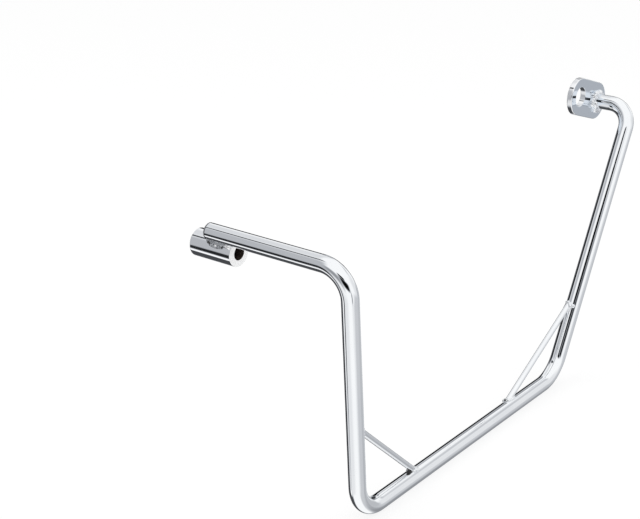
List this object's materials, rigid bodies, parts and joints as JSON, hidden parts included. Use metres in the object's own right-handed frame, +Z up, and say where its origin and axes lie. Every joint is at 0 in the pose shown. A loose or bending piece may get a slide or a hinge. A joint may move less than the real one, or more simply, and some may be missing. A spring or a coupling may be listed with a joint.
{
  "type": "pannier frame",
  "caption": "Chromed pannier support frame: a round tube bent into an open loop, with a bolt boss on one arm, an obround mounting plate on the other and a rod brace across each lower corner.",
  "frame": {"origin": "centre of the boss bore, on the boss's inner end face, which seats on the machine", "axes": "+X out from the machine along the boss bore, +Y from the near leg of the loop towards the plate, +Z up"},
  "size_m": [0.186, 0.5349, 0.3057],
  "materials": {
    "chrome": "bright chrome plate on steel",
    "chrome_weld": "chrome plate over rippled weld beads"
  },
  "bodies": {
    "root": {"main_tube": "chrome", "tube_cap": "chrome", "bolt_boss": "chrome", "mounting_plate": "chrome", "near_brace": "chrome", "far_brace": "chrome", "boss_front_weld": "chrome_weld", "boss_rear_weld": "chrome_weld", "boss_end_weld": "chrome_weld", "plate_weld": "chrome_weld", "near_brace_top_weld": "chrome_weld", "near_brace_low_weld": "chrome_weld", "far_brace_low_weld": "chrome_weld", "far_brace_top_weld": "chrome_weld"}
  },
  "joints": []
}
